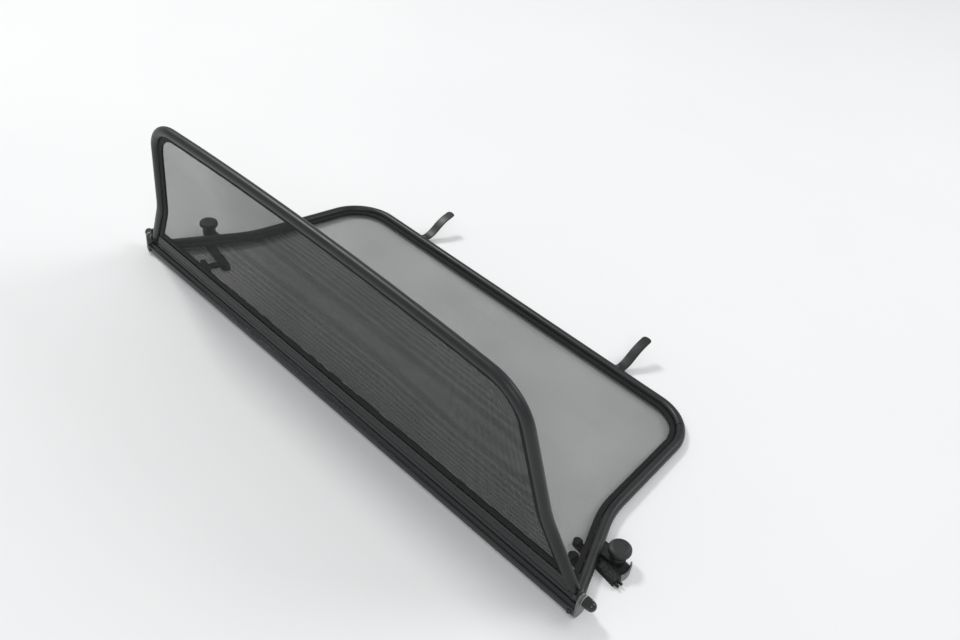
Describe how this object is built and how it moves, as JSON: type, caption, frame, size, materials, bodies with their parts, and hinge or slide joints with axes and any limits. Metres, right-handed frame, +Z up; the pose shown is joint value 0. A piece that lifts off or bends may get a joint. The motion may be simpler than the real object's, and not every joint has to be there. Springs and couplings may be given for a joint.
{
  "type": "folding wind deflector",
  "caption": "Folding two-panel wind deflector for an open car: a lying cover panel and an upright screen of stretched mesh on bent-tube frames, with side clamps.",
  "frame": {"origin": "middle of the lying rail's flat underside, straight below the hinge line", "axes": "+X along the hinge line, +Y rearward over the lying cover panel, +Z up"},
  "size_m": [1.1932, 0.5962, 0.375],
  "materials": {
    "black_coat": "satin black powder coat",
    "rail": "black anodised extrusion, satin",
    "mesh_fabric": "coated black mesh cloth, about a third of the light passes through",
    "fabric_strip": "black woven binding",
    "zinc_steel": "bare zinc-plated steel, soft shine",
    "dark_steel": "blackened steel, glossy",
    "knob_plastic": "moulded black plastic, fine grain",
    "rubber": "black rubber over a stiff core"
  },
  "bodies": {
    "cover": {"cap_nut_left": "dark_steel", "cap_nut_right": "dark_steel", "clamp_stud_left": "zinc_steel", "clamp_stud_right": "zinc_steel", "clamp_tab_left": "black_coat", "clamp_tab_right": "black_coat", "clamp_washer_left": "zinc_steel", "clamp_washer_right": "zinc_steel", "cover_edge_strip": "fabric_strip", "cover_mesh": "mesh_fabric", "cover_rail": "rail", "cover_rail_strip": "fabric_strip", "cover_tube": "black_coat", "end_plate_left": "zinc_steel", "end_plate_right": "zinc_steel", "hinge_bolt_left": "dark_steel", "hinge_bolt_right": "dark_steel", "hinge_spacer_left": "zinc_steel", "hinge_spacer_right": "zinc_steel", "hinge_washer_left": "zinc_steel", "hinge_washer_right": "zinc_steel", "hook_tongue_left": "black_coat", "hook_tongue_right": "black_coat", "rail_screw_left": "dark_steel", "rail_screw_right": "dark_steel"},
    "screen": {"hinge_lug_left": "black_coat", "hinge_lug_right": "black_coat", "screen_edge_strip": "fabric_strip", "screen_hem": "fabric_strip", "screen_mesh": "mesh_fabric", "screen_rail": "rail", "screen_tube": "black_coat"},
    "arm_right": {"arm_bar_right": "rubber", "arm_bolt_front_right": "dark_steel", "arm_bolt_rear_right": "dark_steel", "arm_finger_right": "rubber", "arm_plate_right": "black_coat", "end_pad_right": "zinc_steel"},
    "arm_left": {"arm_bar_left": "rubber", "arm_bolt_front_left": "dark_steel", "arm_bolt_rear_left": "dark_steel", "arm_finger_left": "rubber", "arm_plate_left": "black_coat", "end_pad_left": "zinc_steel"},
    "knob_right": {"clamp_knob_right": "knob_plastic"},
    "knob_left": {"clamp_knob_left": "knob_plastic"}
  },
  "joints": [
    {"name": "screen_fold", "type": "hinge", "parent": "cover", "child": "screen", "pos_m": [0, 0, 0.0322], "axis": [1, 0, 0], "range_deg": [-93.5, 0]},
    {"name": "arm_slide_right", "type": "slide", "parent": "cover", "child": "arm_right", "axis": [0.9903, -0.1392, 0], "range_m": [0, 0.0145]},
    {"name": "arm_slide_left", "type": "slide", "parent": "cover", "child": "arm_left", "axis": [-0.9781, 0.2079, 0], "range_m": [0, 0.0145]},
    {"name": "knob_turn_right", "type": "hinge", "parent": "cover", "child": "knob_right", "pos_m": [0.55, 0.113, 0.02], "axis": [0, 0, 1], "range_deg": [0, 360]},
    {"name": "knob_turn_left", "type": "hinge", "parent": "cover", "child": "knob_left", "pos_m": [-0.55, 0.113, 0.02], "axis": [0, 0, 1], "range_deg": [0, 360]}
  ]
}
